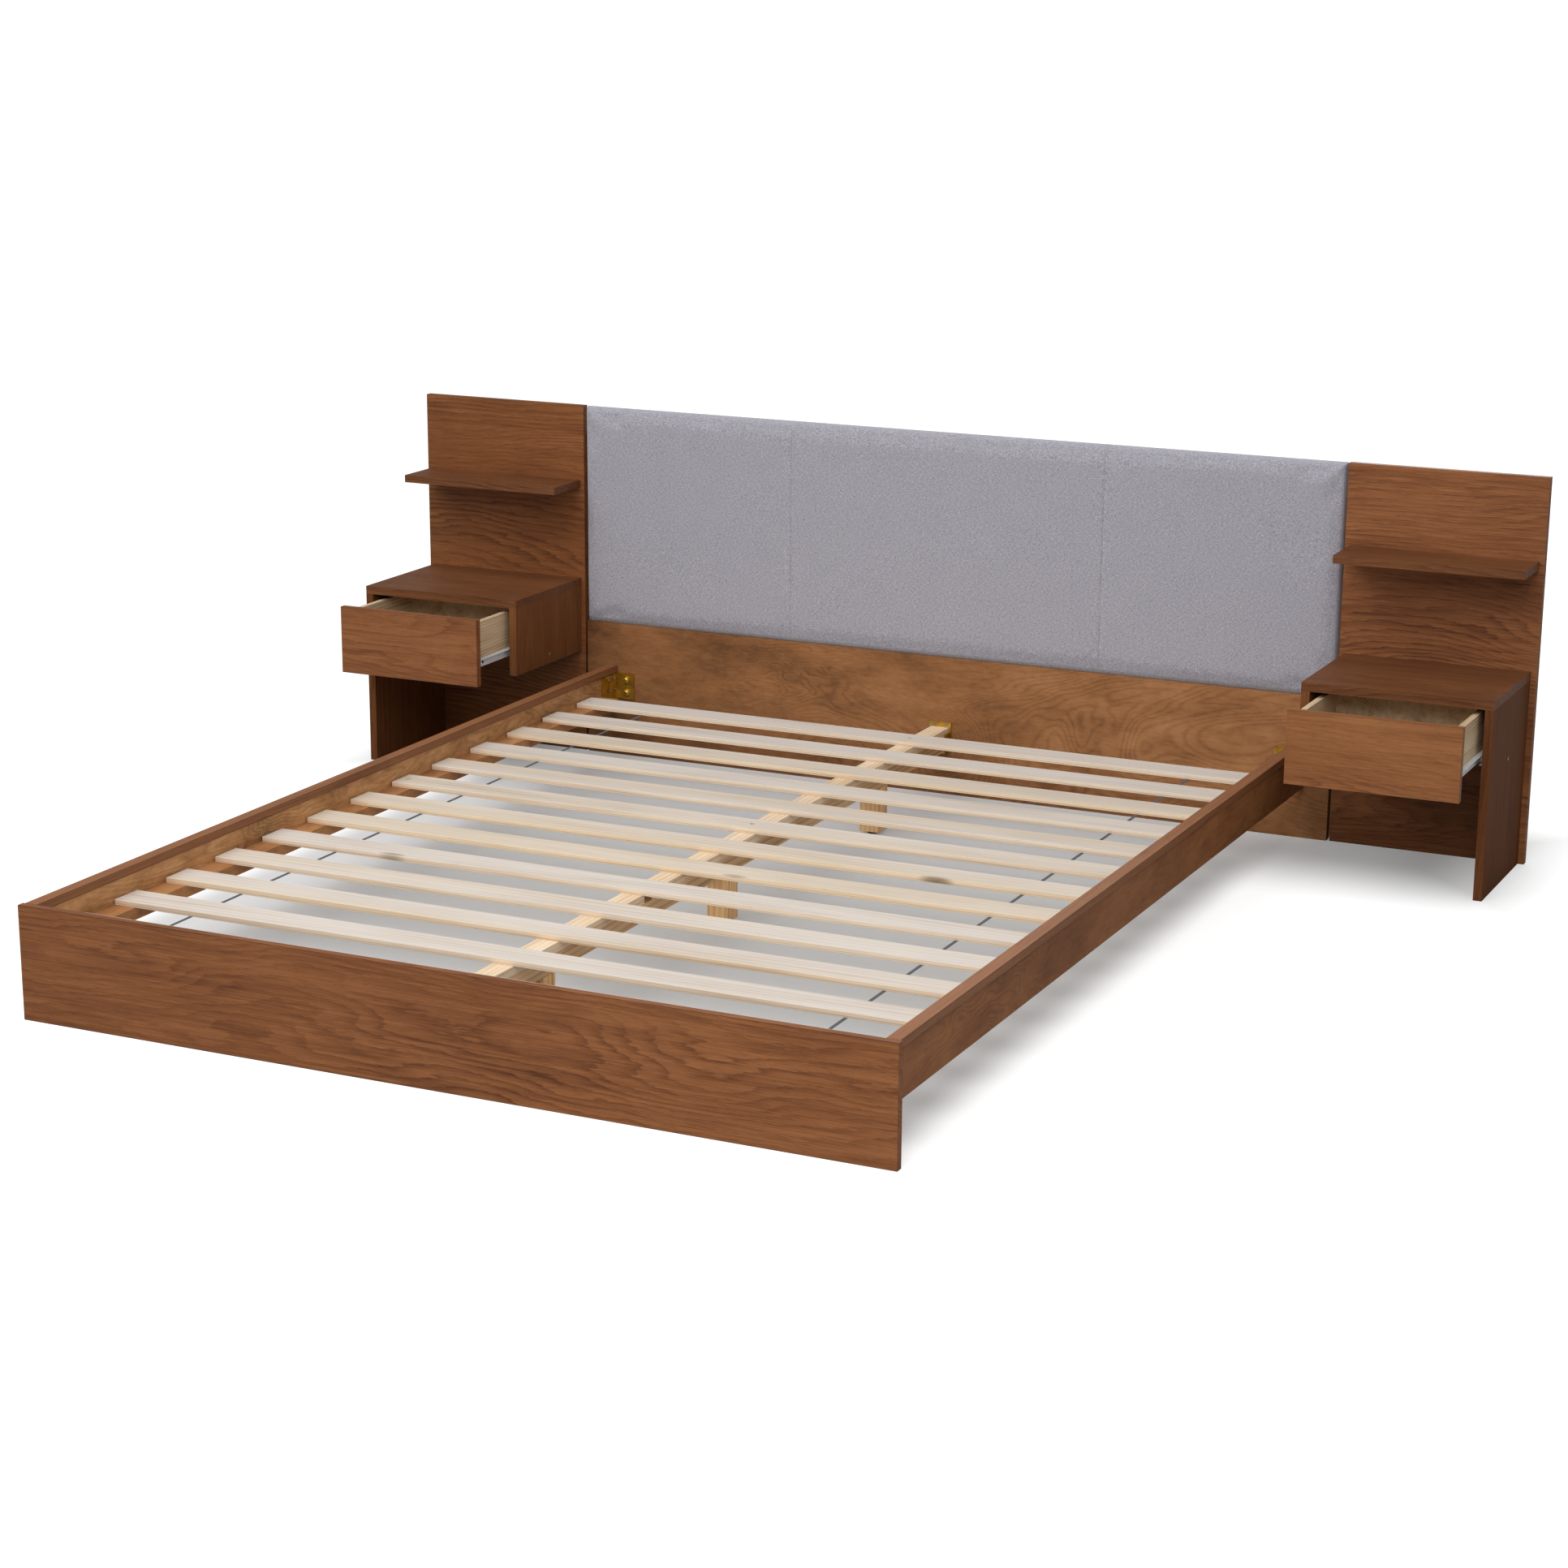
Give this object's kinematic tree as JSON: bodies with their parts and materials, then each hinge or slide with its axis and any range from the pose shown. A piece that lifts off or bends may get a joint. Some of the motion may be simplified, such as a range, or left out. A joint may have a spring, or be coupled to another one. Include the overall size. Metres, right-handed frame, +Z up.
{
  "type": "platform bed with storage drawers",
  "caption": "Low slatted platform bed with an upholstered headboard whose side wings carry open shelves and floating nightstands with inset drawers on roller slides.",
  "frame": {"origin": "on the floor, under the middle of the whole bed's footprint", "axes": "+X across the bed to the right, seen from the foot; +Y from the foot to the headboard; +Z up"},
  "size_m": [2.496, 2.12, 0.769],
  "materials": {
    "walnut": "satin walnut-stained veneer with a long grain",
    "drawer_walnut": "satin walnut-stained veneer, slightly lighter and redder",
    "stained_ply": "golden-brown stained plywood with a blotchy, faint grain",
    "rail_cap": "orange-brown stained solid strip, satin",
    "slat_wood": "raw pale softwood, matte",
    "pale_strip": "raw pale pine, matte",
    "laminated_core": "raw laminated veneer lumber, matte",
    "pine": "raw warm pine, matte",
    "box_wood": "streaky light plywood under a thin lacquer",
    "linen": "light grey heathered woven upholstery",
    "strap": "dark grey woven tape",
    "zinc": "yellow zinc plate on steel",
    "steel": "bright steel",
    "slide_paint": "white baked enamel",
    "nylon": "off-white nylon",
    "glide": "black plastic"
  },
  "bodies": {
    "bed_frame": {"footboard_panel": "walnut", "side_rail_left": "stained_ply", "side_rail_right": "stained_ply", "rail_cap_left": "rail_cap", "rail_cap_right": "rail_cap", "slat_ledge_left": "stained_ply", "slat_ledge_right": "stained_ply", "centre_beam": "laminated_core", "beam_strips": "pale_strip", "beam_brackets": "zinc", "centre_legs": "pine", "leg_glides": "glide", "slat_01": "slat_wood", "slat_02": "slat_wood", "slat_03": "slat_wood", "slat_04": "slat_wood", "slat_05": "slat_wood", "slat_06": "slat_wood", "slat_07": "slat_wood", "slat_08": "slat_wood", "slat_09": "slat_wood", "slat_10": "slat_wood", "slat_11": "slat_wood", "slat_12": "slat_wood", "slat_13": "slat_wood", "slat_straps": "strap", "rail_brackets": "zinc", "frame_bolts": "zinc", "wood_screws": "steel", "headboard_lower_board": "stained_ply", "headboard_backing": "stained_ply", "headboard_pad": "linen", "headboard_battens": "pine", "wing_left": "walnut", "wing_right": "walnut", "shelf_left": "walnut", "shelf_right": "walnut", "nightstand_top_left": "walnut", "nightstand_top_right": "walnut", "outer_side_left": "walnut", "outer_side_right": "walnut", "inner_side_left": "walnut", "inner_side_right": "walnut", "bay_stretchers": "pine", "slide_channels_left": "slide_paint", "slide_channels_right": "slide_paint"},
    "drawer_left": {"drawer_front_left": "drawer_walnut", "drawer_sides_left": "box_wood", "drawer_back_left": "box_wood", "drawer_bottom_left": "box_wood", "slide_runners_left": "slide_paint"},
    "drawer_right": {"drawer_front_right": "drawer_walnut", "drawer_sides_right": "box_wood", "drawer_back_right": "box_wood", "drawer_bottom_right": "box_wood", "slide_runners_right": "slide_paint"},
    "front_rollers_left": {"front_rollers_left": "nylon"},
    "front_rollers_right": {"front_rollers_right": "nylon"},
    "rear_rollers_left": {"rear_rollers_left": "nylon"},
    "rear_rollers_right": {"rear_rollers_right": "nylon"}
  },
  "joints": [
    {"name": "drawer_left_slide", "type": "slide", "parent": "bed_frame", "child": "drawer_left", "axis": [0, -1, 0], "range_m": [-0.134, 0.056]},
    {"name": "drawer_right_slide", "type": "slide", "parent": "bed_frame", "child": "drawer_right", "axis": [0, -1, 0], "range_m": [-0.154, 0.036]},
    {"name": "front_rollers_left_spin", "type": "hinge", "parent": "bed_frame", "child": "front_rollers_left", "pos_m": [-1.0495, 0.761, 0.2725], "axis": [1, 0, 0], "range_deg": [-970, 412]},
    {"name": "front_rollers_right_spin", "type": "hinge", "parent": "bed_frame", "child": "front_rollers_right", "pos_m": [1.0495, 0.761, 0.2725], "axis": [1, 0, 0], "range_deg": [-1113, 268]},
    {"name": "rear_rollers_left_spin", "type": "hinge", "parent": "drawer_left", "child": "rear_rollers_left", "pos_m": [-1.0495, 0.855, 0.2695], "axis": [1, 0, 0], "range_deg": [-970, 412]},
    {"name": "rear_rollers_right_spin", "type": "hinge", "parent": "drawer_right", "child": "rear_rollers_right", "pos_m": [1.0495, 0.835, 0.2695], "axis": [1, 0, 0], "range_deg": [-1113, 268]}
  ],
  "couplings": [
    {"joint": "front_rollers_left_spin", "follows": "drawer_left_slide", "rad_per_m": 125},
    {"joint": "front_rollers_right_spin", "follows": "drawer_right_slide", "rad_per_m": 125},
    {"joint": "rear_rollers_left_spin", "follows": "drawer_left_slide", "rad_per_m": 125},
    {"joint": "rear_rollers_right_spin", "follows": "drawer_right_slide", "rad_per_m": 125}
  ]
}
